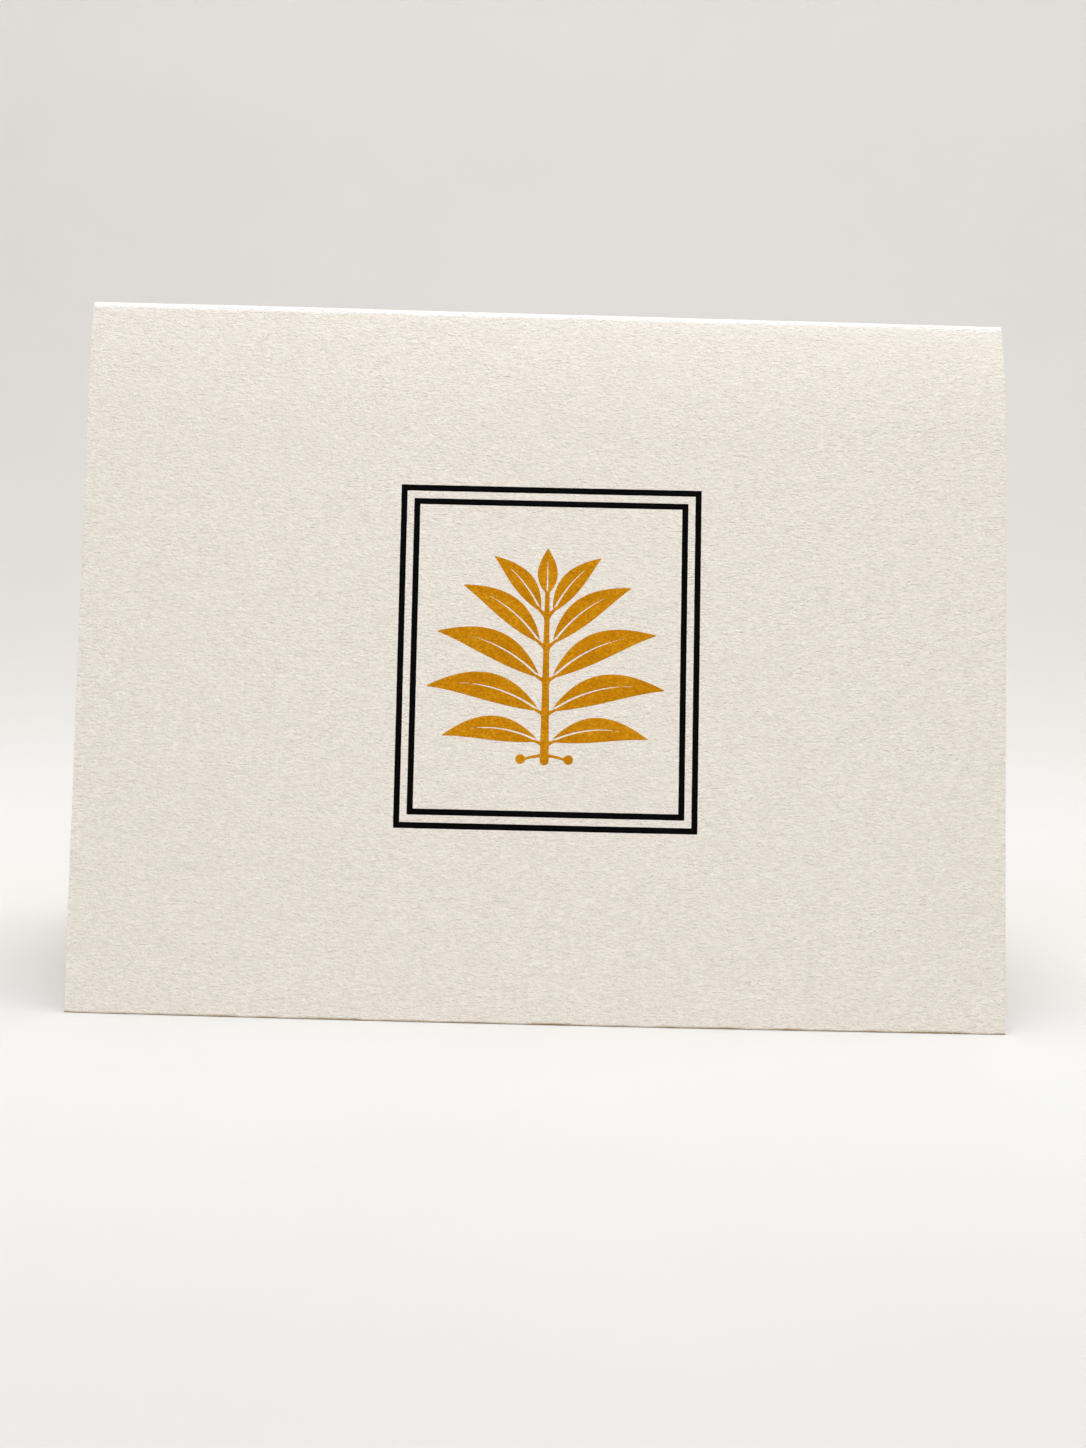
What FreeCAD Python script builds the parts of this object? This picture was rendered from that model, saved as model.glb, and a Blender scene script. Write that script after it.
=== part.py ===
import FreeCAD, Part
import math, os

# Greeting card standing as a tent: one sheet of heavy felt-finish stock, creased once along its top
# and opened until both panels stand on their bottom edges. Paper has no joint at its crease, so the
# card is one solid.
#
# Frame (mm): +X along the fold, +Z up, -Y towards the viewer of the front panel. The origin is the
# middle of the footprint, at the level of the surface that the card stands on.

# ---- driving dimensions ------------------------------------------------------------------------
CARD_WIDTH = 139.7          # along the fold, 5.5 in
PANEL_LENGTH = 108.8        # outer face from the bottom edge to the crest of the fold
STOCK = 0.38                # thickness of the sheet
LEAN = 14.0                 # degrees that each flat panel leans from upright

# The panel doesn't run flat into its crease: it eases over in a long curve, then turns over the
# crest. The card was creased harder at its left end, so the ease turns further at the right.
EASE_LENGTH = 18.0          # length of the long curve, measured down the panel
EASE_LEFT = 8.3             # degrees that it turns at the left edge
EASE_RIGHT = 18.0           # and at the right edge
CREST_RADIUS = 1.15         # outer radius of the crease itself

# The free front panel isn't a true plane.
FRONT_BOW = 0.59            # middle of its bottom edge stands forward of the two corners
FRONT_TWIST = 0.41          # its right bottom corner stands this much further forward than its left

STATIONS = 9                # cross-sections along the fold that the sheet is lofted through
TRIM = 2.0                  # surplus below the ground, cut off flat

# ---- cross-section of the sheet ----------------------------------------------------------------
a0 = math.radians(LEAN)
a_top = math.pi / 2.0


def along(y, z, radius, begin, end):
    """End of an arc that starts at (y, z) and turns from one angle off upright to another."""
    return (y + radius * (math.cos(begin) - math.cos(end)),
            z + radius * (math.sin(end) - math.sin(begin)))


def profile(x):
    """Outer face of the front half at one place along the fold, bottom edge at (0, 0): the lean at
    the crest's start, the ease's radius, where the straight and the ease end, and the crest."""
    ease = math.radians(EASE_LEFT + (EASE_RIGHT - EASE_LEFT) * (x / CARD_WIDTH + 0.5))
    a1 = a0 + ease
    ease_radius = EASE_LENGTH / ease
    straight = PANEL_LENGTH - EASE_LENGTH - CREST_RADIUS * (a_top - a1)
    p1 = (straight * math.sin(a0), straight * math.cos(a0))
    p2 = along(p1[0], p1[1], ease_radius, a0, a1)
    crest = along(p2[0], p2[1], CREST_RADIUS, a1, a_top)
    return a1, ease_radius, p1, p2, crest


def on_arc(c, radius, angle):
    return (c[0] - radius * math.cos(angle), c[1] + radius * math.sin(angle))


def warp(x, z, height):
    """How far the front panel is out of plane at this place: bow and twist, nothing at the fold."""
    fade = max(0.0, 1.0 - z / (height - STOCK))
    u = 2.0 * x / CARD_WIDTH
    return -(FRONT_BOW * (1.0 - u * u) + 0.5 * FRONT_TWIST * u) * fade


def section(x):
    """Closed outline of the sheet at one place along the fold."""
    a1, ease_radius, p1, p2, (half_depth, height) = profile(x)

    # centres of the two front arcs, with y measured from the plane under the fold
    def centre(point, radius, angle):
        return (point[0] - half_depth + radius * math.cos(angle),
                point[1] - radius * math.sin(angle))

    c_ease = centre(p1, ease_radius, a0)
    c_crest = centre(p2, CREST_RADIUS, a1)

    def half(offset, front):
        """Foot, straight, ease and crest points, for the outer (0) or the inner face."""
        foot = (-half_depth - TRIM * math.tan(a0) + offset / math.cos(a0), -TRIM)
        pts = [foot, on_arc(c_ease, ease_radius - offset, a0)]
        for c, r, b, e in ((c_ease, ease_radius, a0, a1), (c_crest, CREST_RADIUS, a1, a_top)):
            pts.append(on_arc(c, r - offset, 0.5 * (b + e)))
            pts.append(on_arc(c, r - offset, e))
        if front:
            return [FreeCAD.Vector(x, y + warp(x, z, height), z) for y, z in pts]
        return [FreeCAD.Vector(x, -y, z) for y, z in pts]

    # Walk round the outline: up the front, over the crest, down the back, then back inside.
    outer_f, outer_b = half(0.0, True), half(0.0, False)
    inner_f, inner_b = half(STOCK, True), half(STOCK, False)

    def up(p):
        return [Part.makeLine(p[0], p[1])] + [Part.Arc(p[i], p[i + 1], p[i + 2]).toShape()
                                              for i in (1, 3)]

    def down(p):
        return [Part.Arc(p[i + 2], p[i + 1], p[i]).toShape() for i in (3, 1)] + [
            Part.makeLine(p[1], p[0])]

    edges = (up(outer_f) + down(outer_b) + [Part.makeLine(outer_b[0], inner_b[0])]
             + up(inner_b) + down(inner_f) + [Part.makeLine(inner_f[0], outer_f[0])])
    return Part.Wire(edges)


# ---- the sheet ---------------------------------------------------------------------------------
wires = []
for i in range(STATIONS):
    wires.append(section(-CARD_WIDTH / 2.0 + CARD_WIDTH * i / (STATIONS - 1)))
sheet = Part.makeLoft(wires, True, False)

# Both bottom edges are cut flat at the ground.
below = Part.makeBox(CARD_WIDTH + 20.0, 120.0, TRIM + 10.0,
                     FreeCAD.Vector(-CARD_WIDTH / 2.0 - 10.0, -60.0, -TRIM - 10.0))
card = sheet.cut(below)
if card.ShapeType != "Solid":
    card = card.Solids[0]

# The front foot stands a little forward of the back one, so the sheet moves back to put the
# middle of its footprint on the origin.
box = card.optimalBoundingBox(False)
card.translate(FreeCAD.Vector(0.0, -0.5 * (box.YMin + box.YMax), 0.0))

os.makedirs("parts", exist_ok=True)
card.exportStep("parts/card.step")

box = card.optimalBoundingBox(False)
print("valid", card.isValid(), "closed", card.isClosed(), "volume mm3", round(card.Volume, 2))
print("x %.3f %.3f  y %.3f %.3f  z %.3f %.3f" % (box.XMin, box.XMax, box.YMin, box.YMax,
                                                 box.ZMin, box.ZMax))
print("faces", len(card.Faces), [f.Surface.TypeId.split("::")[-1] for f in card.Faces])

for name, x in (("left", -CARD_WIDTH / 2.0), ("middle", 0.0), ("right", CARD_WIDTH / 2.0)):
    a1, ease_radius, p1, p2, (half_depth, height) = profile(x)
    print(name, "half depth %.3f height %.3f ease radius %.1f lean at crest %.1f"
          % (half_depth, height, ease_radius, math.degrees(a1)))
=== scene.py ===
import math

import bpy
import numpy as np
from mathutils import Matrix, Vector


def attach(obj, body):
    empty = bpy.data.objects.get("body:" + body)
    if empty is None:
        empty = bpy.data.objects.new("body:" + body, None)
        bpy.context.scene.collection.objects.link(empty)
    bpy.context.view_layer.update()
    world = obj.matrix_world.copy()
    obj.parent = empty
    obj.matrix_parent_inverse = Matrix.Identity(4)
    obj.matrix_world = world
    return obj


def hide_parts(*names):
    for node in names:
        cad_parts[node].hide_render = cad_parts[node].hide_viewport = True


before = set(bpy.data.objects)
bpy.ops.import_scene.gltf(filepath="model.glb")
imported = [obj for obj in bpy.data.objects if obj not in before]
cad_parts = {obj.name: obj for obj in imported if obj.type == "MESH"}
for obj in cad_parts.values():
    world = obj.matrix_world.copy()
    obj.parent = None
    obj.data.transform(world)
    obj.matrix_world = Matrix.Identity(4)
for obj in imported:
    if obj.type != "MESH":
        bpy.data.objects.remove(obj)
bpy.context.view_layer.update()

MM = 0.001

# ---- the sheet: the same section as the solid, in mm ---------------------------------------------
CARD_WIDTH = 139.7
PANEL_LENGTH = 108.8
STOCK = 0.38
LEAN = math.radians(14.0)
EASE_LENGTH = 18.0
EASE_LEFT, EASE_RIGHT = math.radians(8.3), math.radians(18.0)
CREST_RADIUS = 1.15
FRONT_BOW, FRONT_TWIST = 0.59, 0.41


def _bend(y, z, r, a, b):
    return y + r * (np.cos(a) - np.cos(b)), z + r * (np.sin(b) - np.sin(a))


def profile(x):
    """The section's numbers at x: the lean where the crest starts, the ease's radius, the lengths
    and places where the straight and the ease end, and the crest (half depth, height)."""
    x = np.asarray(x, float)
    ease = EASE_LEFT + (EASE_RIGHT - EASE_LEFT) * (x / CARD_WIDTH + 0.5)
    a1 = LEAN + ease
    radius = EASE_LENGTH / ease
    s1 = PANEL_LENGTH - CREST_RADIUS * (math.pi / 2 - a1)
    s0 = s1 - EASE_LENGTH
    p1 = (s0 * math.sin(LEAN), s0 * math.cos(LEAN))
    p2 = _bend(*p1, radius, LEAN, a1)
    crest = _bend(*p2, CREST_RADIUS, a1, math.pi / 2)
    return a1, radius, s0, s1, p1, p2, crest


# The front foot's furthest point and the back one's set where the middle of the footprint is.
_x = np.linspace(-CARD_WIDTH / 2, CARD_WIDTH / 2, 561)
_u = 2 * _x / CARD_WIDTH
_half = profile(_x)[-1][0]
SHIFT_Y = 0.5 * ((_half + FRONT_BOW * (1 - _u * _u) + 0.5 * FRONT_TWIST * _u).max() - _half.max())


def place(x, s, out=0.0):
    """Points (m) at x along the fold and s along the sheet, front foot 0 to back foot 2 L, at a
    height out (mm) above its outer face."""
    x, s, out = np.broadcast_arrays(np.asarray(x, float), np.asarray(s, float),
                                    np.asarray(out, float))
    back = s > PANEL_LENGTH
    t = np.where(back, 2 * PANEL_LENGTH - s, s)
    a1, radius, s0, s1, p1, p2, (half_depth, height) = profile(x)
    a = np.where(t < s0, LEAN, np.where(t < s1, LEAN + (t - s0) / radius,
                                        a1 + (t - s1) / CREST_RADIUS))
    a = np.minimum(a, math.pi / 2)
    y, z = t * math.sin(LEAN), t * math.cos(LEAN)
    for begin, (yb, zb), r, ab in ((s0, p1, radius, LEAN), (s1, p2, CREST_RADIUS, a1)):
        yy, zz = _bend(yb, zb, r, ab, a)
        y, z = np.where(t >= begin, yy, y), np.where(t >= begin, zz, z)
    y = y - half_depth - out * np.cos(a)
    z = z + out * np.sin(a)
    y = np.where(back, -y, y)
    u = 2 * x / CARD_WIDTH
    fade = np.clip(1 - z / (height - STOCK), 0, None)
    warp = -(FRONT_BOW * (1 - u * u) + 0.5 * FRONT_TWIST * u) * fade
    y = y + np.where(back, 0.0, warp) + SHIFT_Y
    return np.stack([x, y, z], -1) * MM


# ---- seeded smooth noise on the developed sheet ---------------------------------------------------
class Noise:
    def __init__(self, seed, lx, ls, octaves=1):
        rng = np.random.RandomState(seed)
        self.layers = []
        amp = 1.0
        for k in range(octaves):
            self.layers.append((lx / 2 ** k, ls / 2 ** k, amp,
                                rng.uniform(-1, 1, (256, 256)), rng.uniform(0, 256, 2)))
            amp *= 0.5

    def __call__(self, x, s):
        total = 0.0
        for lx, ls, amp, g, o in self.layers:
            u, v = x / lx + o[0], s / ls + o[1]
            i, j = np.floor(u).astype(int), np.floor(v).astype(int)
            fu, fv = u - i, v - j
            fu, fv = fu ** 3 * (fu * (6 * fu - 15) + 10), fv ** 3 * (fv * (6 * fv - 15) + 10)
            i0, i1, j0, j1 = i % 256, (i + 1) % 256, j % 256, (j + 1) % 256
            total = total + amp * ((g[i0, j0] * (1 - fu) + g[i1, j0] * fu) * (1 - fv)
                                   + (g[i0, j1] * (1 - fu) + g[i1, j1] * fu) * fv)
        return total


cockle = Noise(11, 34.0, 26.0, 2)
felt_wide = Noise(23, 5.2, 2.4)
felt_mid = Noise(37, 2.4, 1.15)
edge_fray = Noise(41, 0.9, 0.9, 2)


def relief(x, s):
    """Height of the felt-pressed face over the nominal one, mm. Never above it."""
    d = 0.030 * cockle(x, s) + 0.010 * felt_wide(x, s) + 0.005 * felt_mid(x, s)
    return np.minimum(d - 0.062, 0.0)


# ---- mesh helpers ----------------------------------------------------------------------------------
def new_piece(name, verts, faces, mats, mat_index=None, smooth=True):
    mesh = bpy.data.meshes.new(name)
    mesh.from_pydata(np.asarray(verts, float).tolist(), [], faces)
    mesh.update()
    obj = bpy.data.objects.new(name, mesh)
    bpy.context.scene.collection.objects.link(obj)
    for m in mats:
        mesh.materials.append(m)
    if mat_index is not None:
        mesh.polygons.foreach_set("material_index", np.asarray(mat_index, np.int32))
    mesh.polygons.foreach_set("use_smooth", np.full(len(mesh.polygons), smooth))
    mesh.update()
    return obj


# ---- materials -------------------------------------------------------------------------------------
class Nodes:
    def __init__(self, name):
        self.mat = bpy.data.materials.new(name)
        self.mat.use_nodes = True
        self.t = self.mat.node_tree
        self.t.nodes.clear()
        self.out = self.t.nodes.new("ShaderNodeOutputMaterial")
        self.bsdf = self.t.nodes.new("ShaderNodeBsdfPrincipled")
        self.link(self.bsdf.outputs[0], self.out.inputs[0])
        self.coord = self.t.nodes.new("ShaderNodeTexCoord").outputs["Object"]

    def link(self, a, b):
        self.t.links.new(a, b)

    def noise(self, lx, lz, detail=2.0, rough=0.5, distort=0.0, shift=0.0):
        """3-D noise whose features are lx mm long across and lz mm tall."""
        m = self.t.nodes.new("ShaderNodeMapping")
        m.inputs["Scale"].default_value = (1000.0 / lx, 1000.0 / lz, 1000.0 / lz)
        m.inputs["Location"].default_value = (shift, shift * 1.7, -shift)
        self.link(self.coord, m.inputs["Vector"])
        n = self.t.nodes.new("ShaderNodeTexNoise")
        n.inputs["Scale"].default_value = 1.0
        n.inputs["Detail"].default_value = detail
        n.inputs["Roughness"].default_value = rough
        n.inputs["Distortion"].default_value = distort
        self.link(m.outputs[0], n.inputs["Vector"])
        return n.outputs["Fac"]

    def math(self, op, a, b=None, clamp=False):
        n = self.t.nodes.new("ShaderNodeMath")
        n.operation = op
        n.use_clamp = clamp
        for i, v in enumerate((a, b)):
            if v is None:
                continue
            if isinstance(v, (int, float)):
                n.inputs[i].default_value = v
            else:
                self.link(v, n.inputs[i])
        return n.outputs[0]

    def ramp(self, fac, stops):
        n = self.t.nodes.new("ShaderNodeValToRGB")
        els = n.color_ramp.elements
        while len(els) < len(stops):
            els.new(0.5)
        for e, (p, c) in zip(els, stops):
            e.position, e.color = p, (*c, 1.0)
        self.link(fac, n.inputs[0])
        return n.outputs[0]

    def mix(self, fac, a, b, mode="MIX"):
        n = self.t.nodes.new("ShaderNodeMix")
        n.data_type = "RGBA"
        n.blend_type = mode
        for sock, v in ((n.inputs[0], fac), (n.inputs[6], a), (n.inputs[7], b)):
            if isinstance(v, (int, float)):
                sock.default_value = v
            elif isinstance(v, tuple):
                sock.default_value = (*v, 1.0)
            else:
                self.link(v, sock)
        return n.outputs[2]

    def between(self, fac, lo, hi, a, b):
        """Maps fac from lo..hi to a..b."""
        n = self.t.nodes.new("ShaderNodeMapRange")
        n.inputs["From Min"].default_value, n.inputs["From Max"].default_value = lo, hi
        n.inputs["To Min"].default_value, n.inputs["To Max"].default_value = a, b
        self.link(fac, n.inputs["Value"])
        return n.outputs[0]

    def bump(self, height, distance_mm, strength=1.0, normal=None):
        n = self.t.nodes.new("ShaderNodeBump")
        n.inputs["Strength"].default_value = strength
        n.inputs["Distance"].default_value = distance_mm * MM
        self.link(height, n.inputs["Height"])
        if normal is not None:
            self.link(normal, n.inputs["Normal"])
        return n.outputs[0]


def felt_height(m):
    """The felt mark, the sum of the ridges that the fibres leave: fine ones up to half a millimetre
    apart, and longer ones that lie across the sheet."""
    ridge = m.noise(0.38, 0.20, 0.0, 0.5, 0.0, 5.0)
    run = m.noise(1.30, 0.34, 0.0, 0.5, 0.0, 11.0)
    h = m.math("MULTIPLY", ridge, 1.20)
    for n, w in ((m.noise(0.60, 0.27, 0.0, 0.5, 0.0, 3.0), 0.50),
                 (m.noise(0.33, 0.28, 0.0, 0.5, 0.0, 6.0), 0.50),
                 (m.noise(0.62, 0.40, 0.0, 0.5, 0.0, 8.0), 0.50),
                 (run, 0.42),
                 (m.noise(1.50, 0.46, 0.0, 0.5, 0.0, 14.0), 0.40),
                 (m.noise(1.10, 0.70, 0.0, 0.5, 0.0, 17.0), 0.35)):
        h = m.math("ADD", h, m.math("MULTIPLY", n, w))
    return m.math("MULTIPLY", h, 1 / 3.87), ridge, run


def paper_material(name):
    m = Nodes(name)
    height, ridge, run = felt_height(m)
    base = m.ramp(m.noise(2.6, 1.7, 2.0, 0.55, 0.3, 2.0),
                  [(0.28, (0.818, 0.759, 0.688)), (0.50, (0.827, 0.768, 0.698)),
                   (0.72, (0.835, 0.776, 0.707))])
    # painted shade and highlight: the felt's hollows are darkened and warmed, its crests lightened
    felt_painted_shade = m.ramp(height, [(0.42, (0.993, 0.986, 0.972)), (0.50, (1.0, 1.0, 1.0)),
                           (0.58, (1.005, 1.010, 1.022))])
    base = m.mix(1.0, base, felt_painted_shade, "MULTIPLY")
    # single fibres, lighter and darker than their neighbours, lie across the sheet
    fleck = m.ramp(m.noise(0.92, 0.22, 1.0, 0.5, 0.2, 21.0),
                   [(0.30, (0.934, 0.931, 0.916)), (0.70, (1.066, 1.069, 1.084))])
    base = m.mix(1.0, base, fleck, "MULTIPLY")
    # the fold's crest: painted highlight, a whiter colour laid on the crest and, weaker, on a band just
    # below it that grows to the right
    crest = m.t.nodes.new("ShaderNodeAttribute")
    crest.attribute_name = "crest"
    base = m.mix(m.math("MULTIPLY", crest.outputs["Fac"], 0.9), base, (0.93, 0.925, 0.915))
    # the foot: painted contact shadow, a warm brown shade laid on a hair of the face above the trimmed edge
    foot = m.t.nodes.new("ShaderNodeAttribute")
    foot.attribute_name = "foot"
    base = m.mix(foot.outputs["Fac"], base, (0.300, 0.176, 0.034))
    m.link(base, m.bsdf.inputs["Base Color"])
    m.link(m.between(ridge, 0.3, 0.7, 0.95, 0.80), m.bsdf.inputs["Roughness"])
    m.bsdf.inputs["Specular IOR Level"].default_value = 0.30
    m.bsdf.inputs["Sheen Weight"].default_value = 0.05
    m.bsdf.inputs["Sheen Roughness"].default_value = 0.5
    m.link(m.bump(height, 0.67), m.bsdf.inputs["Normal"])
    return m.mat


def cut_edge_material():
    """The guillotined edge: the layers of the stock show as fine lines along it, slightly deeper."""
    m = Nodes("card_cut_edge")
    layers = m.noise(2.0, 0.07, 3.0, 0.6, 0.3)
    fibre = m.noise(0.3, 0.12, 2.0, 0.6, 0.5, 4.0)
    base = m.ramp(layers, [(0.3, (0.70, 0.63, 0.54)), (0.7, (0.79, 0.725, 0.635))])
    # painted contact shadow at the foot: the same warm brown shade laid on the cut edge
    foot = m.t.nodes.new("ShaderNodeAttribute")
    foot.attribute_name = "foot"
    base = m.mix(foot.outputs["Fac"], base, (0.270, 0.158, 0.030))
    m.link(base, m.bsdf.inputs["Base Color"])
    m.link(m.between(fibre, 0.3, 0.7, 0.98, 0.86), m.bsdf.inputs["Roughness"])
    m.bsdf.inputs["Specular IOR Level"].default_value = 0.2
    h = m.math("ADD", m.math("MULTIPLY", layers, 0.6), m.math("MULTIPLY", fibre, 0.4))
    m.link(m.bump(h, 0.05), m.bsdf.inputs["Normal"])
    return m.mat


def black_ink_material():
    m = Nodes("black_ink")
    height, ridge, run = felt_height(m)
    base = m.ramp(m.noise(0.5, 0.3, 2.0, 0.6, 0.0, 3.0),
                  [(0.3, (0.0010, 0.0010, 0.0010)), (0.7, (0.0026, 0.0025, 0.0024))])
    m.link(base, m.bsdf.inputs["Base Color"])
    m.link(m.between(ridge, 0.3, 0.7, 0.62, 0.50), m.bsdf.inputs["Roughness"])
    m.bsdf.inputs["Specular IOR Level"].default_value = 0.02
    m.link(m.bump(height, 0.16), m.bsdf.inputs["Normal"])
    return m.mat


def gold_ink_material():
    m = Nodes("gold_ink")
    height, ridge, run = felt_height(m)
    grain = m.noise(0.42, 0.34, 3.0, 0.65, 0.4, 7.0)
    wide = m.noise(3.2, 2.6, 2.0, 0.5, 0.2, 1.0)
    fac = m.math("ADD", m.math("MULTIPLY", grain, 0.75), m.math("MULTIPLY", wide, 0.25))
    base = m.ramp(fac, [(0.34, (0.385, 0.143, 0.0006)), (0.46, (0.490, 0.193, 0.0012)),
                        (0.56, (0.560, 0.234, 0.0035)), (0.68, (0.700, 0.335, 0.0150))])
    m.link(base, m.bsdf.inputs["Base Color"])
    m.bsdf.inputs["Metallic"].default_value = 0.20
    m.link(m.between(grain, 0.3, 0.7, 0.62, 0.46), m.bsdf.inputs["Roughness"])
    m.bsdf.inputs["Specular IOR Level"].default_value = 0.03
    h = m.math("ADD", m.math("MULTIPLY", height, 1.6), m.math("MULTIPLY", grain, 0.3))
    m.link(m.bump(h, 0.10), m.bsdf.inputs["Normal"])
    return m.mat


paper = paper_material("card_stock_face")
cut_edge = cut_edge_material()
black_ink = black_ink_material()
gold_ink = gold_ink_material()

# ---- the sheet's mesh --------------------------------------------------------------------------------
N_ACROSS = 252            # columns on the outer face; the inner face has a quarter of them
STEP_IN = 4
BEVEL = 0.05              # softened arris of the cut edges
half_w = CARD_WIDTH / 2

FLAT_TOP, ROLL_TOP = 88.8, 107.2   # below the first the panel is flat, above the second it is crest
GRID_S = np.linspace(0, FLAT_TOP, 163)
rows = np.concatenate([
    [0.0, 0.06, 0.16, 0.30, 0.42],
    GRID_S[1:-1],
    np.linspace(FLAT_TOP, ROLL_TOP, 33)[:-1],
    np.linspace(ROLL_TOP, PANEL_LENGTH, 17)[:-1],
    2 * PANEL_LENGTH - np.linspace(PANEL_LENGTH, ROLL_TOP, 15)[:-1],
    2 * PANEL_LENGTH - np.linspace(ROLL_TOP, FLAT_TOP, 11)[:-1],
    2 * PANEL_LENGTH - np.linspace(FLAT_TOP, 0, 37)[:-1],
    2 * PANEL_LENGTH - np.array([0.62, 0.42, 0.30, 0.16, 0.06, 0.0]),
])
cols = np.linspace(-half_w + BEVEL, half_w - BEVEL, N_ACROSS + 1)
cols_in = cols[::STEP_IN][::-1]

# One loop round the sheet per row: outer face, right cut edge, inner face, left cut edge.
ring_x, ring_off, ring_kind = [], [], []
for x in cols:
    ring_x.append(x); ring_off.append(0.0); ring_kind.append(0)
for x, o in ((half_w - 0.012, 0.016), (half_w, 0.055), (half_w, 0.19), (half_w, STOCK - 0.055),
             (half_w - 0.012, STOCK - 0.016)):
    ring_x.append(x); ring_off.append(o); ring_kind.append(1)
for x in cols_in:
    ring_x.append(x); ring_off.append(STOCK); ring_kind.append(2)
for x, o in ((-half_w + 0.012, STOCK - 0.016), (-half_w, STOCK - 0.055), (-half_w, 0.19),
             (-half_w, 0.055), (-half_w + 0.012, 0.016)):
    ring_x.append(x); ring_off.append(o); ring_kind.append(1)
ring_x, ring_off, ring_kind = map(np.asarray, (ring_x, ring_off, ring_kind))
n_ring, n_rows = len(ring_x), len(rows)

X = np.broadcast_to(ring_x, (n_rows, n_ring)).copy()
S = np.broadcast_to(rows[:, None], (n_rows, n_ring)).copy()
OFF = np.broadcast_to(ring_off, (n_rows, n_ring)).copy()

# The sheet is cut square to its faces: it stands on its inner arris, and the outer one is a hair
# clear of the ground, with a soft burr. What lies deeper starts a little further up the sheet.
from_foot = np.minimum(S, 2 * PANEL_LENGTH - S)
through = OFF / STOCK
clear = np.maximum(0.120 + 0.030 * edge_fray(X + 200.0, OFF + 60.0), 0.06) * (1 - through)
start = (OFF * math.tan(LEAN) + clear / math.cos(LEAN)) * np.clip(1 - from_foot / 5.0, 0, 1)
burr = 0.055 * np.exp(-(from_foot / 0.09) ** 2) * (1 - through)
S = np.where(S < PANEL_LENGTH, S + start, S - start)

# Paper is a little frayed where it is cut.
fray = 0.010 * (1 + edge_fray(S + 3.1 * OFF, OFF * 9.0 + 20.0)).clip(0, 2)
X = np.where(ring_kind == 1, X - np.sign(X) * fray, X)

# The stock keeps its thickness: its inner face follows the outer one, with a felt mark of its own.
inner = 0.062 + 0.5 * (relief(X + 400.0, S + 900.0) + 0.062)
depth = OFF - relief(X, S) * (1 - through) + inner * through + burr
P = place(X, S, -depth)
P[0, ring_kind == 2, 2] = 0.0
P[-1, ring_kind == 2, 2] = 0.0
P[..., 2] = np.maximum(P[..., 2], 0.0)
verts = P.reshape(-1, 3)

faces, mat_index = [], []
for j in range(n_rows - 1):
    a, b = j * n_ring, (j + 1) * n_ring
    for i in range(n_ring):
        k = (i + 1) % n_ring
        faces.append((a + i, a + k, b + k, b + i))
        mat_index.append(1 if ring_kind[i] == 1 or ring_kind[k] == 1 else 0)


def foot_cap(base, flip):
    """Closes the ring at a foot: the outer edge's points joined to the inner edge's."""
    n_out = N_ACROSS + 1
    first_in = n_out + 5
    n_in = len(cols_in)
    out = [base + i for i in range(n_out)]
    inn = [base + first_in + n_in - 1 - i for i in range(n_in)]
    polys = []
    for k in range(n_in - 1):
        o = out[k * STEP_IN:(k + 1) * STEP_IN + 1]
        mid = STEP_IN // 2
        for q in range(STEP_IN):
            polys.append((o[q], o[q + 1], inn[k] if q < mid else inn[k + 1]))
        polys.append((inn[k], o[mid], inn[k + 1]))
    right = [base + n_out - 1 + i for i in range(7)]
    polys.append(tuple(right))
    left = [base + (first_in + n_in - 1 + i) % n_ring for i in range(7)]
    polys.append(tuple(left))
    return [p[::-1] if flip else p for p in polys]


for base, flip in ((0, True), ((n_rows - 1) * n_ring, False)):
    for p in foot_cap(base, flip):
        faces.append(p)
        mat_index.append(1)

card = new_piece("card_sheet", verts, faces, [paper, cut_edge], mat_index)

# UV map for the bake: the printed front has most of it, the other faces share a strip.
uv = card.data.uv_layers.new(name="OFBake")
flat_u = (np.broadcast_to(ring_x, (n_rows, n_ring)) + half_w) / CARD_WIDTH
flat_s = np.broadcast_to(rows[:, None], (n_rows, n_ring))


def face_uv(kind, jj, ii):
    """UV of a ring point as a corner of a face of this kind on this side of the fold."""
    u, s = flat_u[jj, ii], flat_s[jj, ii]
    if kind == "front":
        return 0.010 + 0.980 * u, 0.225 + 0.765 * s / PANEL_LENGTH
    if kind == "back":
        return 0.010 + 0.300 * u, 0.012 + 0.195 * (s - PANEL_LENGTH) / PANEL_LENGTH
    if kind == "in_front":
        return 0.325 + 0.300 * u, 0.012 + 0.195 * s / PANEL_LENGTH
    if kind == "in_back":
        return 0.640 + 0.300 * u, 0.012 + 0.195 * (s - PANEL_LENGTH) / PANEL_LENGTH
    v = ring_off[ii] / STOCK
    if kind == "right":
        return 0.948 + 0.010 * v, 0.012 + 0.195 * s / (2 * PANEL_LENGTH)
    if kind == "left":
        return 0.964 + 0.010 * v, 0.012 + 0.195 * s / (2 * PANEL_LENGTH)
    if kind == "foot_a":
        return 0.978 + 0.006 * v, 0.012 + 0.195 * u
    return 0.988 + 0.006 * v, 0.012 + 0.195 * u


fold_row = int(np.argmin(np.abs(rows - PANEL_LENGTH)))
uv_data = np.zeros((len(card.data.loops), 2), np.float32)
pos = 0
n_side = (n_rows - 1) * n_ring
first_in = N_ACROSS + 1 + 5
for f, poly in enumerate(faces):
    if f < n_side:
        j, i = divmod(f, n_ring)
        k = (i + 1) % n_ring
        if ring_kind[i] == 0 and ring_kind[k] == 0:
            kind = "front" if j < fold_row else "back"
        elif ring_kind[i] == 2 and ring_kind[k] == 2:
            kind = "in_front" if j < fold_row else "in_back"
        else:
            kind = "right" if i < first_in + 2 else "left"
    else:
        kind = "foot_a" if poly[0] < n_ring else "foot_b"
    for vtx in poly:
        jj, ii = divmod(vtx, n_ring)
        uv_data[pos] = face_uv(kind, jj, ii)
        pos += 1
uv.data.foreach_set("uv", uv_data.ravel())
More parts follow.
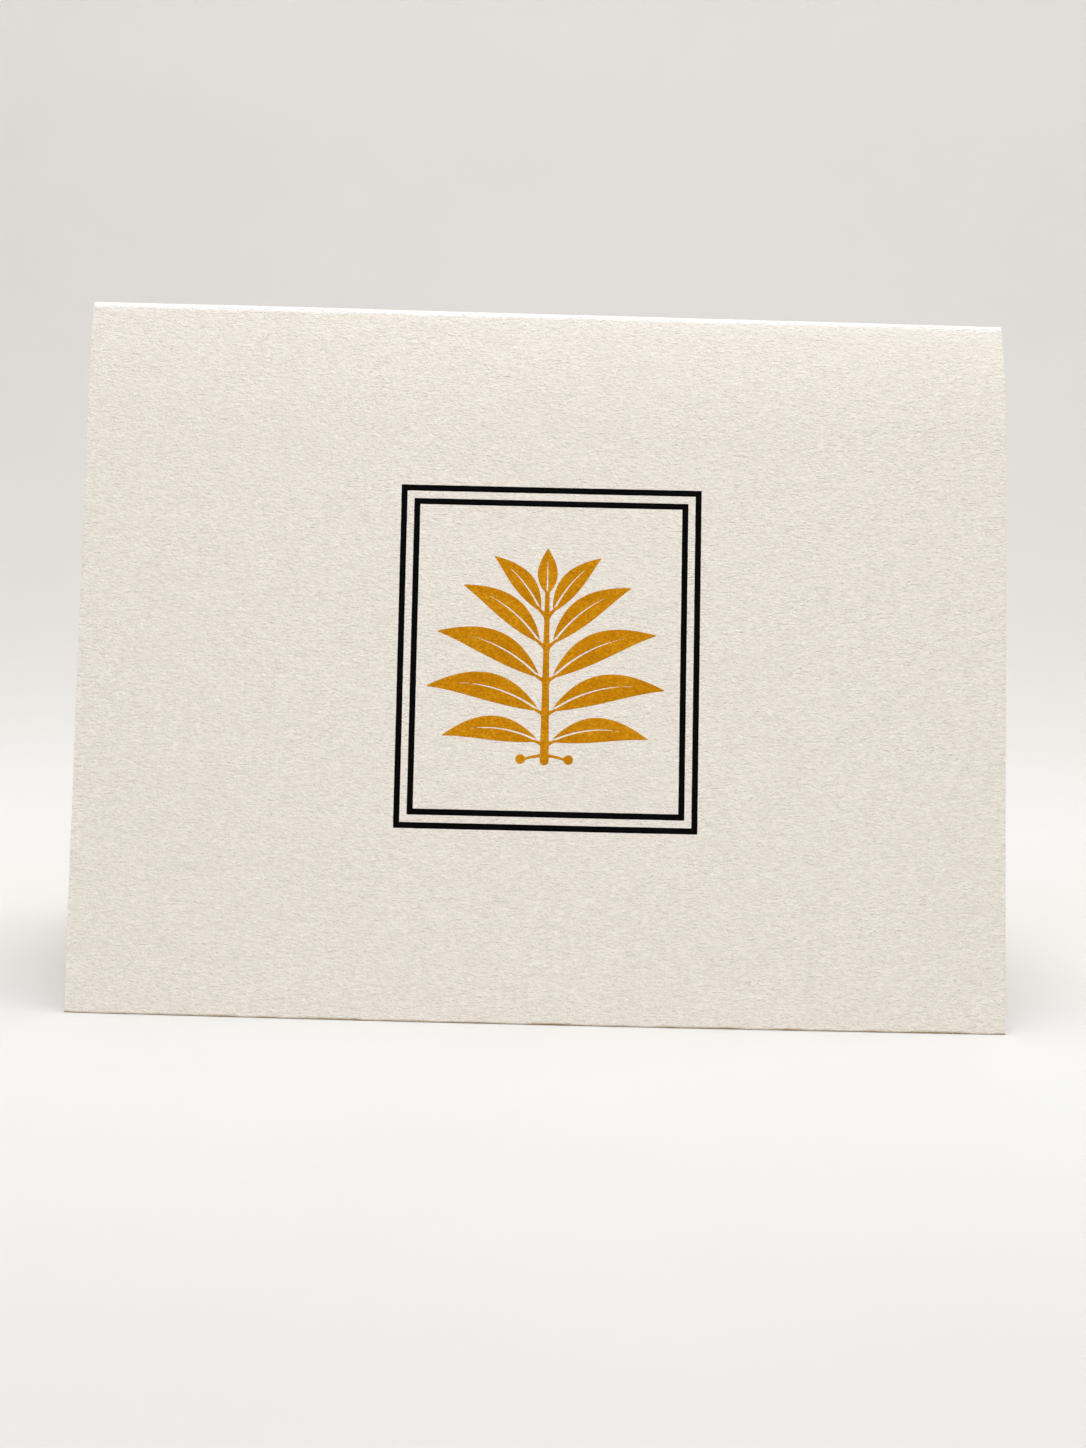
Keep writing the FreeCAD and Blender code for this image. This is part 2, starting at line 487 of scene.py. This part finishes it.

# How much painted highlight the fold's crest gets: all of it on the crest, none where the panels begin.
crest_and_foot_noise = Noise(67, 3.1, 0.5, 2)
half_s = np.minimum(S, 2 * PANEL_LENGTH - S)
crest_highlight = (half_s - profile(X)[3] + 0.32 + 0.08 * crest_and_foot_noise(X, S)) / 0.30
crest_highlight = np.clip(crest_highlight, 0, 1)
crest_highlight = crest_highlight * crest_highlight * (3 - 2 * crest_highlight)
highlight_below_crest = np.clip(1 + (half_s - profile(X)[3]) / 2.8, 0, 1) ** 1.5   # a weaker painted highlight just below it, growing to the right
crest_highlight = np.maximum(crest_highlight, 0.42 * highlight_below_crest * np.clip(0.5 + X / CARD_WIDTH, 0, 1) ** 1.5)
crest_highlight = crest_highlight * (ring_kind[None] == 0)
card.data.attributes.new("crest", "FLOAT", "POINT").data.foreach_set(
    "value", crest_highlight.astype(np.float32).ravel())
# painted contact shadow: full on the outer face and cut edges at the feet, fading out about 0.4 mm up, none
# on the inner face
foot_painted_shade = np.clip(1.12 + 0.30 * crest_and_foot_noise(X, S) - half_s / 0.38, 0, 1) * (ring_kind[None] != 2)
card.data.attributes.new("foot", "FLOAT", "POINT").data.foreach_set(
    "value", foot_painted_shade.astype(np.float32).ravel())

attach(card, "root")
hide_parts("card")

# ---- the print -----------------------------------------------------------------------------------------
# A frame of two black rules, set a touch right of the middle and a touch out of square, as printed.
RULE_W, RULE_H = 44.52, 50.97      # centre line of the outer rule
RULE_GAP_X, RULE_GAP_Y = 1.98, 2.04
RULE_LINE = 0.92
PRINT_X, PRINT_S = 0.97, 54.59
PRINT_TURN = -0.00094
INK_TOP, INK_ROOT = 0.014, -0.025

grid_relief = relief(*np.meshgrid(cols, GRID_S, indexing="ij"))


def on_paper(px, py, out):
    """Print coordinates (mm from the frame's centre) to a point out mm above the paper's own mesh."""
    c, t = math.cos(PRINT_TURN), math.sin(PRINT_TURN)
    x = c * px + t * py + PRINT_X
    s = -t * px + c * py + PRINT_S
    u = (x - cols[0]) / (cols[1] - cols[0])
    v = s / (GRID_S[1] - GRID_S[0])
    i, j = np.floor(u).astype(int), np.floor(v).astype(int)
    fu, fv = u - i, v - j
    g = grid_relief
    h = ((g[i, j] * (1 - fu) + g[i + 1, j] * fu) * (1 - fv)
         + (g[i, j + 1] * (1 - fu) + g[i + 1, j + 1] * fu) * fv)
    return place(x, s, h + out)


ink_edge = Noise(59, 1.3, 1.3, 2)


def rule(name, w, h):
    """One rule of the frame, as a closed film of ink that follows the paper."""
    per_side = (max(2, int(w / 0.7)), max(2, int(h / 0.7)))
    offs = [(-RULE_LINE / 2, 0.000), (-RULE_LINE / 2 + 0.035, INK_TOP), (0.0, INK_TOP),
            (RULE_LINE / 2 - 0.035, INK_TOP), (RULE_LINE / 2, 0.000),
            (RULE_LINE / 2 - 0.02, INK_ROOT), (-RULE_LINE / 2 + 0.02, INK_ROOT)]
    loops = []
    for o, z in offs:
        cx, cy = w / 2 + o, h / 2 + o
        pts = []
        for (x0, y0), (x1, y1), n in (((-cx, -cy), (cx, -cy), per_side[0]),
                                      ((cx, -cy), (cx, cy), per_side[1]),
                                      ((cx, cy), (-cx, cy), per_side[0]),
                                      ((-cx, cy), (-cx, -cy), per_side[1])):
            for q in range(n):
                f = q / n
                pts.append((x0 + (x1 - x0) * f, y0 + (y1 - y0) * f))
        pts = np.array(pts)
        if abs(abs(o) - RULE_LINE / 2) < 0.05:
            wob = 0.010 * ink_edge(pts[:, 0] * 1.0 + 50 * np.sign(o), pts[:, 1])
            pts = pts * (1 + (wob / np.maximum(np.abs(pts).max(1), 1))[:, None])
        loops.append(on_paper(pts[:, 0], pts[:, 1], np.full(len(pts), z)))
    n = len(loops[0])
    v = np.concatenate(loops)
    f = []
    for a in range(len(loops)):
        b = (a + 1) % len(loops)
        for q in range(n):
            r = (q + 1) % n
            f.append((b * n + q, b * n + r, a * n + r, a * n + q))
    obj = new_piece(name, v, f, [black_ink])
    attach(obj, "root")
    return obj


rule_outer = rule("rule_outer", RULE_W, RULE_H)
rule_inner = rule("rule_inner", RULE_W - 2 * RULE_GAP_X, RULE_H - 2 * RULE_GAP_Y)


# The ornament: an upright leaf sprig, drawn as one distance field and cut out of it as a film of ink.
def leaf(x, y, bx, by, angle, length, width, bend, gap=0.17):
    a = math.radians(angle)
    u = (x - bx) * math.cos(a) + (y - by) * math.sin(a)
    v = -(x - bx) * math.sin(a) + (y - by) * math.cos(a)
    t = np.clip(u / length, -0.3, 1.3)
    v = v - bend * length * t * (1 - t)
    tt = np.clip(t, 1e-4, 1 - 1e-4)
    f = np.abs(v) - width / 2 * np.sin(np.pi * tt ** 0.85) ** 0.95
    f = np.where(t < 0, np.hypot(u, v), f)
    f = np.where(t > 1, np.hypot(u - length, v), f)
    rib = gap * (1 - t / 0.90)
    return np.where((t > 0) & (t < 0.72), np.maximum(f, rib - np.abs(v)), f)


def stroke(x, y, pts, r0, r1):
    pts = np.asarray(pts, float)
    seg = np.linalg.norm(np.diff(pts, axis=0), axis=1)
    cum = np.concatenate([[0], np.cumsum(seg)])
    best = np.full(x.shape, 1e9)
    for i in range(len(pts) - 1):
        p, d = pts[i], pts[i + 1] - pts[i]
        t = np.clip(((x - p[0]) * d[0] + (y - p[1]) * d[1]) / (d @ d), 0, 1)
        r = r0 + (r1 - r0) * (cum[i] + t * seg[i]) / cum[-1]
        best = np.minimum(best, np.hypot(x - p[0] - t * d[0], y - p[1] - t * d[1]) - r)
    return best


def arc(p0, p1, p2, n=14):
    t = np.linspace(0, 1, n)[:, None]
    p0, p1, p2 = map(np.asarray, (p0, p1, p2))
    return (1 - t) ** 2 * p0 + 2 * t * (1 - t) * p1 + t ** 2 * p2


def join(a, b, k=0.22):
    """Union with a small fillet where two shapes meet."""
    h = np.clip(0.5 + 0.5 * (b - a) / k, 0, 1)
    return b + (a - b) * h - k * h * (1 - h)


def sprig(x, y):
    m = np.abs(x)
    f = stroke(x, y, [(0, -15.7), (0, -8), (0, 9.6)], 0.66, 0.34)
    for by, angle, length, width, bend in ((-13.2, 2, 14.6, 3.7, 0.44), (-8.6, 11, 17.4, 4.2, 0.44),
                                           (-3.6, 23, 17.0, 4.2, 0.41), (1.6, 36, 14.6, 3.8, 0.36),
                                           (6.4, 49, 10.9, 3.2, 0.30)):
        slope = math.tan(math.radians(angle))
        f = join(f, stroke(m, y, [(0.0, by - 0.7), (0.55, by + 0.05),
                                  (1.5, by + 0.45 + 0.55 * slope)], 0.30, 0.20))
        f = np.minimum(f, leaf(m, y, 0.95, by + 0.45, angle, length, width, bend))
    f = np.minimum(f, leaf(m, y, 0.0, 9.4, 90, 7.0, 3.0, 0.0, 0.15))
    f = join(f, stroke(m, y, arc((0.3, -14.9), (1.6, -15.0), (3.1, -15.5)), 0.24, 0.18))
    return join(f, np.hypot(m - 3.6, y + 15.5) - 0.72)


def cut_out(name, field, half_x, half_y, cell, mat, centre=(0.0, 0.0)):
    """Marching squares over the field. Gives a closed film: top, skirt and underside."""
    nx, ny = int(2 * half_x / cell) + 1, int(2 * half_y / cell) + 1
    gx = np.linspace(-half_x, half_x, nx)
    gy = np.linspace(-half_y, half_y, ny)
    F = field(*np.meshgrid(gx, gy, indexing="ij"))
    F = np.where(np.abs(F) < 1e-5, -1e-5, F)
    index, pts = {}, []

    def corner(i, j):
        key = (i, j)
        if key not in index:
            index[key] = len(pts)
            pts.append((gx[i], gy[j]))
        return index[key]

    def crossing(i, j, k, l):
        if (k, l) < (i, j):
            i, j, k, l = k, l, i, j
        key = (i, j, k, l)
        if key not in index:
            t = F[i, j] / (F[i, j] - F[k, l])
            t = min(max(t, 0.04), 0.96)
            index[key] = len(pts)
            pts.append((gx[i] + (gx[k] - gx[i]) * t, gy[j] + (gy[l] - gy[j]) * t))
        return index[key]

    inside = F < 0
    count = (inside[:-1, :-1].astype(int) + inside[1:, :-1] + inside[1:, 1:] + inside[:-1, 1:])
    polys = []
    for i, j in zip(*np.nonzero(count)):
        ring = ((i, j), (i + 1, j), (i + 1, j + 1), (i, j + 1))
        if count[i, j] == 4:
            polys.append([corner(*c) for c in ring])
            continue
        poly, runs = [], 0
        for q in range(4):
            a, b = ring[q], ring[(q + 1) % 4]
            if inside[a]:
                poly.append(corner(*a))
            if inside[a] != inside[b]:
                poly.append(crossing(*a, *b))
                runs += 1
        if runs == 4:  # a saddle: two corners cut off on their own
            for q in range(4):
                if inside[ring[q]]:
                    p, n = ring[q - 1], ring[(q + 1) % 4]
                    polys.append([crossing(*p, *ring[q]), corner(*ring[q]),
                                  crossing(*ring[q], *n)])
        elif len(poly) >= 3:
            polys.append(poly)
    pts = np.array(pts)
    # rim: directed edges that only one polygon has
    seen = {}
    for p in polys:
        for a, b in zip(p, p[1:] + p[:1]):
            seen[(a, b)] = seen.get((a, b), 0) + 1
    rim = [e for e in seen if (e[1], e[0]) not in seen]
    on_rim = np.zeros(len(pts), bool)
    for a, b in rim:
        on_rim[a] = on_rim[b] = True
    top = on_paper(pts[:, 0] + centre[0], pts[:, 1] + centre[1],
                   np.where(on_rim, INK_TOP * 0.45, INK_TOP))
    low = on_paper(pts[:, 0] + centre[0], pts[:, 1] + centre[1], np.full(len(pts), INK_ROOT))
    n = len(pts)
    f = [tuple(p) for p in polys]
    f += [tuple(n + q for q in reversed(p)) for p in polys]
    f += [(b, a, n + a, n + b) for a, b in rim]
    obj = new_piece(name, np.concatenate([top, low]), f, [mat])
    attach(obj, "root")
    return obj


ornament = cut_out("leaf_sprig", sprig, 18.4, 16.9, 0.125, gold_ink, centre=(-0.35, 0.25))

# ---- ground and backdrop -----------------------------------------------------------------------------
# One sweep of pale studio paper that rises to a wall all round. Painted light and shade lie along it by
# depth: lighter around the card, darker towards the wall and the near edge, with a painted colour tint that
# changes with depth.
SWEEP_AT, SWEEP_R, WALL_TOP, FLOOR_FRONT, HALF_SPAN = 0.20, 0.32, 1.6, -1.3, 1.3
WALL_GLOW = 0.15
LIGHT_AND_SHADE_BY_DEPTH = ((-1.30, 0.885), (-0.330, 0.904), (-0.309, 0.937), (-0.281, 0.982), (-0.252, 1.044),
         (-0.238, 1.090), (-0.231, 1.112), (-0.205, 1.116), (-0.165, 1.106), (-0.132, 1.096),
         (-0.076, 1.088), (-0.027, 1.073), (0.028, 1.034), (0.068, 0.993), (0.102, 0.958), (0.159, 0.932),
         (0.222, 0.919), (0.300, 0.911), (0.384, 0.928), (0.431, 0.962), (0.70, 0.992))
PAINTED_TINT_BY_DEPTH = ((-0.33, -0.4), (-0.25, -1.8), (-0.215, -0.8), (-0.205, 0.4), (-0.165, 0.2), (-0.10, -1.4),
          (0.0, 0.0), (0.10, 1.1), (0.40, 1.2))


def backdrop_material():
    m = Nodes("studio_paper")
    n = m.noise(60.0, 60.0, 3.0, 0.5, 0.0)
    base = m.ramp(n, [(0.35, (0.749, 0.739, 0.721)), (0.65, (0.759, 0.749, 0.731))])
    # painted light and shade: the base colour is multiplied by the per-point colour laid along the sweep
    painted_light_shade = m.t.nodes.new("ShaderNodeAttribute")
    painted_light_shade.attribute_name = "painted_light_shade"
    m.link(m.mix(1.0, base, painted_light_shade.outputs["Color"], "MULTIPLY"), m.bsdf.inputs["Base Color"])
    m.link(m.between(n, 0.3, 0.7, 0.90, 0.96), m.bsdf.inputs["Roughness"])
    m.bsdf.inputs["Specular IOR Level"].default_value = 0.15
    m.link(m.bump(m.noise(1.6, 1.6, 2.0, 0.5), 0.01), m.bsdf.inputs["Normal"])
    # the far walls at the sides and in front glow: painted light, an emission standing in for lamps behind
    # them, which also bounces onto the scene
    glow = m.t.nodes.new("ShaderNodeAttribute")
    glow.attribute_name = "glow"
    m.bsdf.inputs["Emission Color"].default_value = (1.0, 0.99, 0.97, 1.0)
    m.link(m.math("MULTIPLY", glow.outputs["Fac"], WALL_GLOW), m.bsdf.inputs["Emission Strength"])
    m.mat.cycles.emission_sampling = "NONE"  # the walls are large, so plain bounces find them
    return m.mat


def rise(at, r, n, heights):
    """Floor to wall, outwards from at: a quarter circle of radius r, then straight up."""
    arc = [(at + r * math.sin(math.pi / 2 * q / n), r * (1 - math.cos(math.pi / 2 * q / n)))
           for q in range(n + 1)]
    return arc + [(at + r, z) for z in heights]


front_wall = [(-y, z) for y, z in rise(-FLOOR_FRONT, 0.5, 12, (0.8, 1.2, WALL_TOP))][::-1]
line = front_wall + [(y, 0.0) for y in (-0.8, -0.5, -0.3)]
line += [(y, 0.0) for y in np.arange(-0.20, SWEEP_AT - 0.001, 0.01)]
foot_of_wall = len(line)
line += rise(SWEEP_AT, SWEEP_R, 32, (0.36, 0.40, 0.45, 0.52, 0.6, 0.8, 1.1, WALL_TOP))
line = np.array(line)
along = np.concatenate([[0], np.cumsum(np.hypot(*np.diff(line, axis=0).T))])
along -= along[foot_of_wall]
side = rise(HALF_SPAN, 0.5, 12, (0.8, 1.2, WALL_TOP))
across = [(-x, z) for x, z in side][::-1] + [(x, 0.0) for x in (-0.8, -0.4, 0.0, 0.4, 0.8)] + side
na = len(across)
bv = [(x, y, z + dz) for y, z in line for x, dz in across]
bf = [(j * na + i, j * na + i + 1, (j + 1) * na + i + 1, (j + 1) * na + i)
      for j in range(len(line) - 1) for i in range(na - 1)]
backdrop = new_piece("backdrop", bv, bf, [backdrop_material()])
# painted light and shade by depth, with its painted tint, stored per point
shade = np.interp(along, *np.array(LIGHT_AND_SHADE_BY_DEPTH).T)
painted_tint = np.interp(along, *np.array(PAINTED_TINT_BY_DEPTH).T)
shade = np.stack([shade * (1 + 0.010 * painted_tint), shade, shade * (1 - 0.010 * painted_tint),
                  np.ones_like(shade)], -1)
backdrop.data.attributes.new("painted_light_shade", "FLOAT_COLOR", "POINT").data.foreach_set(
    "color", np.repeat(shade, na, axis=0).astype(np.float32).ravel())
# painted light: how strongly each point of the walls glows, rising with height
lift = np.array([[max(dz, z if y < FLOOR_FRONT else 0.0) for x, dz in across] for y, z in line])
lift = np.clip(lift / 0.6, 0, 1)
backdrop.data.attributes.new("glow", "FLOAT", "POINT").data.foreach_set(
    "value", (lift * lift * (3 - 2 * lift)).astype(np.float32).ravel())

# ---- light ---------------------------------------------------------------------------------------------
SOFT_WHITE = (0.995, 0.995, 0.991)
LIGHTS = {
    # name: (place, aims at, width, height, power W, colour)
    "front": ((0.0, -0.60, 0.36), (0.0, 0.0, 0.06), 0.25, 0.25, 1.19, SOFT_WHITE),
    "front_near": ((0.0, -0.16, 0.36), (0.0, 0.0, 0.06), 0.20, 0.14, 0.26, SOFT_WHITE),
    "front_left": ((-0.80, -0.50, 0.60), (0.0, 0.0, 0.05), 0.60, 0.60, 1.84, SOFT_WHITE),
    "front_right": ((0.80, -0.50, 0.60), (0.0, 0.0, 0.05), 0.60, 0.60, 1.15, SOFT_WHITE),
    "side_left": ((-1.0, 0.10, 0.25), (0.0, 0.05, 0.03), 0.50, 0.40, 2.53, SOFT_WHITE),
    "side_right": ((1.0, 0.10, 0.25), (0.0, 0.05, 0.03), 0.50, 0.40, 1.86, SOFT_WHITE),
    "high_right": ((0.70, 0.10, 0.90), (0.0, 0.0, 0.0), 0.60, 0.60, 1.79, SOFT_WHITE),
    "above": ((0.0, 0.06, 0.50), (0.0, 0.06, 0.0), 0.30, 0.30, 0.30, SOFT_WHITE),
    "above_behind": ((0.0, 0.30, 0.80), (0.0, 0.10, 0.0), 0.70, 0.70, 2.03, SOFT_WHITE),
    "overhead": ((0.0, 0.0, 1.40), (0.0, 0.0, 0.0), 2.00, 2.00, 3.50, SOFT_WHITE),
}
for name, (at, aim, w, h, power, colour) in LIGHTS.items():
    data = bpy.data.lights.new(name, "AREA")
    data.shape = "RECTANGLE"
    data.size, data.size_y = w, h
    data.energy = power
    data.color = colour
    lamp = bpy.data.objects.new(name, data)
    lamp.location = at
    lamp.rotation_mode = "QUATERNION"
    lamp.rotation_quaternion = (Vector(aim) - Vector(at)).to_track_quat("-Z", "Y")
    lamp.visible_camera = False
    bpy.context.scene.collection.objects.link(lamp)

world = bpy.data.worlds.new("studio")
world.use_nodes = True
world.node_tree.nodes["Background"].inputs["Color"].default_value = (1.0, 0.995, 0.985, 1.0)
world.node_tree.nodes["Background"].inputs["Strength"].default_value = 0.004
bpy.context.scene.world = world
bpy.context.scene.view_settings.view_transform = "Standard"
bpy.context.scene.view_settings.look = "None"

# ---- camera, solved from the card's edges and its rules ---------------------------------------------------
FOCAL = 1700.0             # in pixels of the 1086 x 1448 frame
CAM = Vector((-2.30, -269.21, 87.86)) * MM
PITCH, ROLL, YAW = math.radians(10.066), math.radians(1.338), math.radians(-0.606)
turn = Matrix.Rotation(YAW, 3, "Z")
forward = turn @ Vector((0, math.cos(PITCH), -math.sin(PITCH)))
up = turn @ Vector((0, math.sin(PITCH), math.cos(PITCH)))
right = turn @ Vector((1, 0, 0))
right, up = (math.cos(ROLL) * right + math.sin(ROLL) * up,
             -math.sin(ROLL) * right + math.cos(ROLL) * up)
cam_data = bpy.data.cameras.new("photo_camera")
cam_data.sensor_fit = "AUTO"
cam_data.sensor_width = 36.0
cam_data.lens = FOCAL * 36.0 / 1448.0
cam_data.clip_start, cam_data.clip_end = 0.01, 20.0
cam = bpy.data.objects.new("photo_camera", cam_data)
basis = Matrix((right, up, -forward)).transposed().to_4x4()
cam.matrix_world = Matrix.Translation(CAM) @ basis
bpy.context.scene.collection.objects.link(cam)
bpy.context.scene.camera = cam
